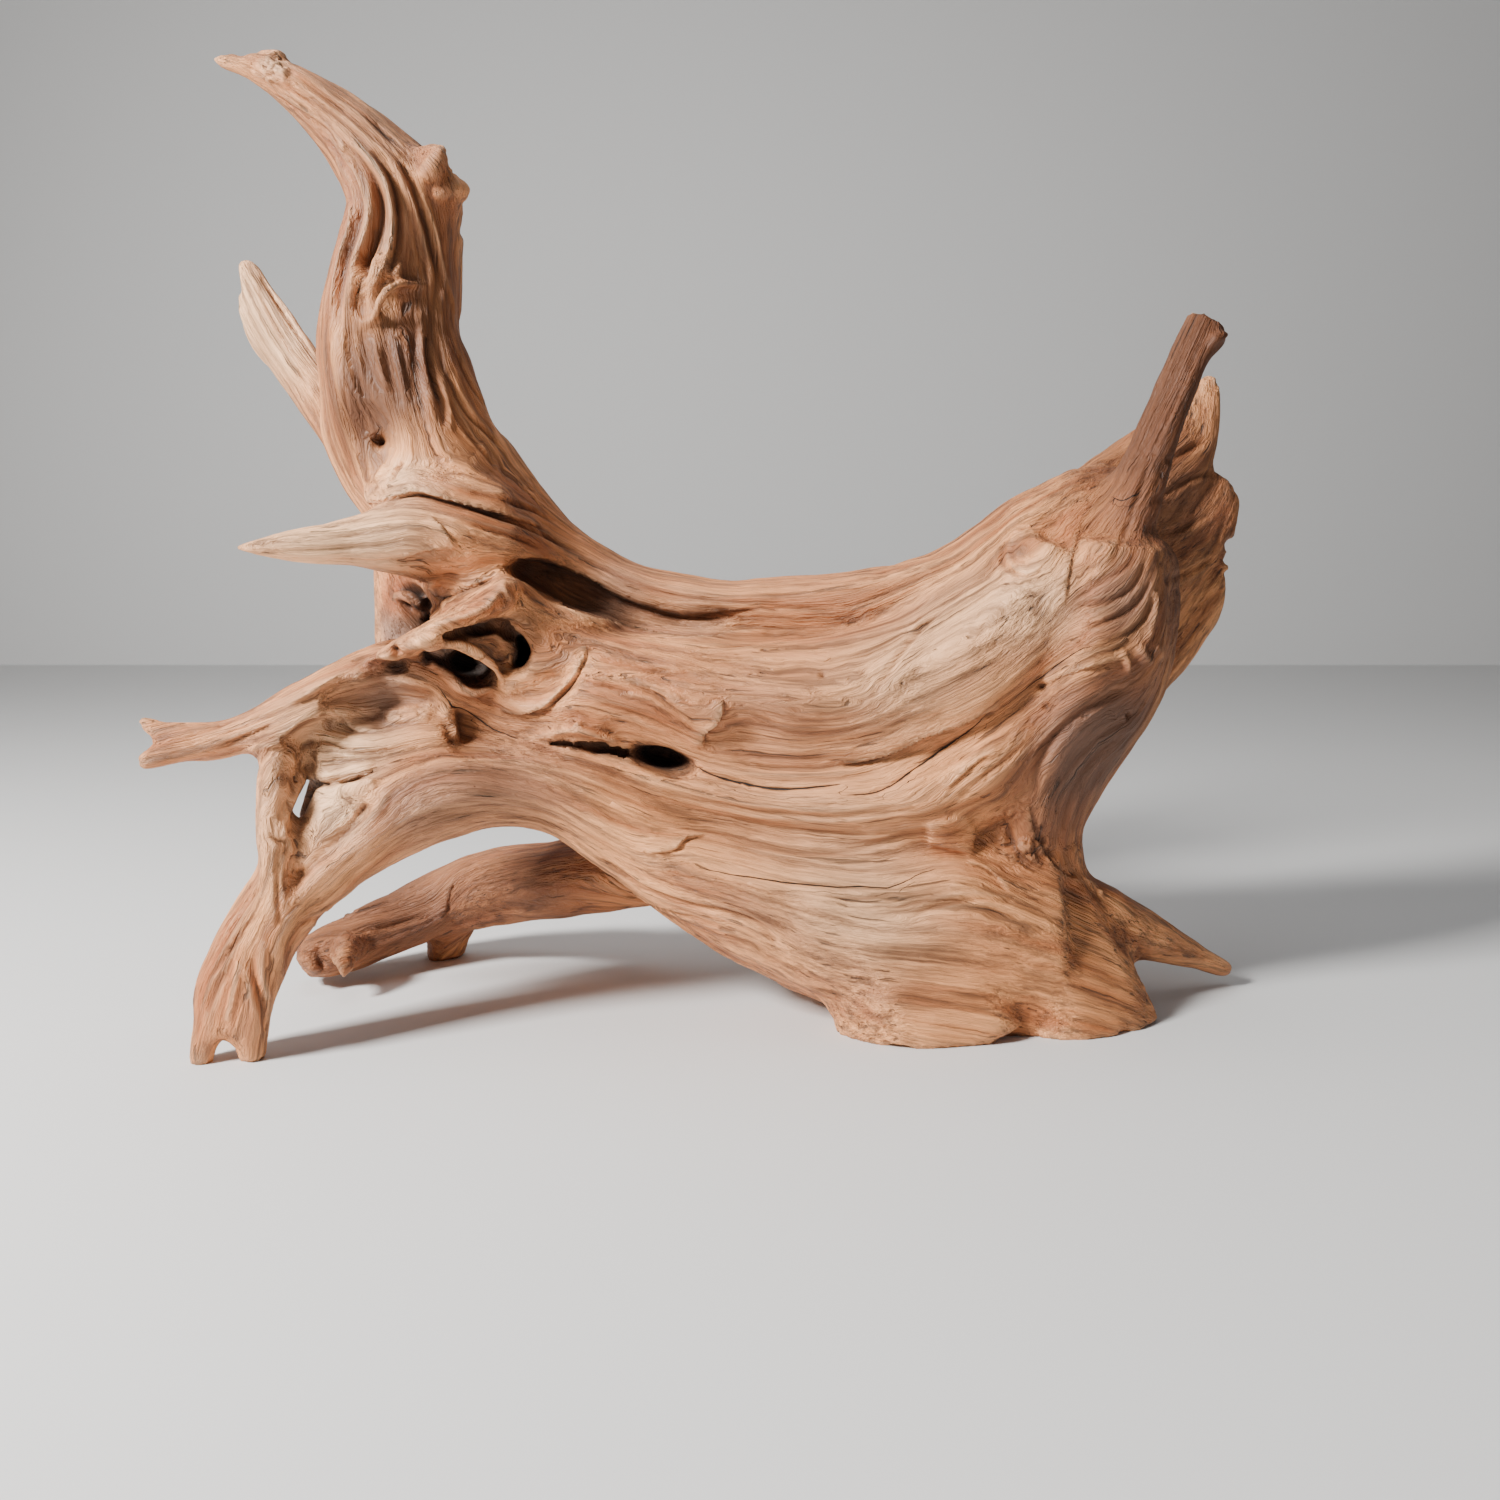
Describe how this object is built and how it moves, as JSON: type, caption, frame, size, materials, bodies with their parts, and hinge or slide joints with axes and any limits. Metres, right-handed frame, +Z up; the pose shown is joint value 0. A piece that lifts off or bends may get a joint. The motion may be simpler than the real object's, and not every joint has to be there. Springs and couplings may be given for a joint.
{
  "type": "piece of driftwood",
  "caption": "Weathered root and lower trunk of a small tree, worn by water, with a curved horn, a low arch and a broad base to stand on.",
  "frame": {"origin": "middle of the object's box in X and Y, on the surface that it stands on", "axes": "+X to the right seen from the front, from the horn towards the stub branch; +Y from the front to the back; +Z up"},
  "size_m": [0.889, 0.339, 0.7508],
  "materials": {
    "driftwood": "bare weathered wood, matt, with open grain"
  },
  "bodies": {
    "root": {"driftwood": "driftwood"}
  },
  "joints": []
}
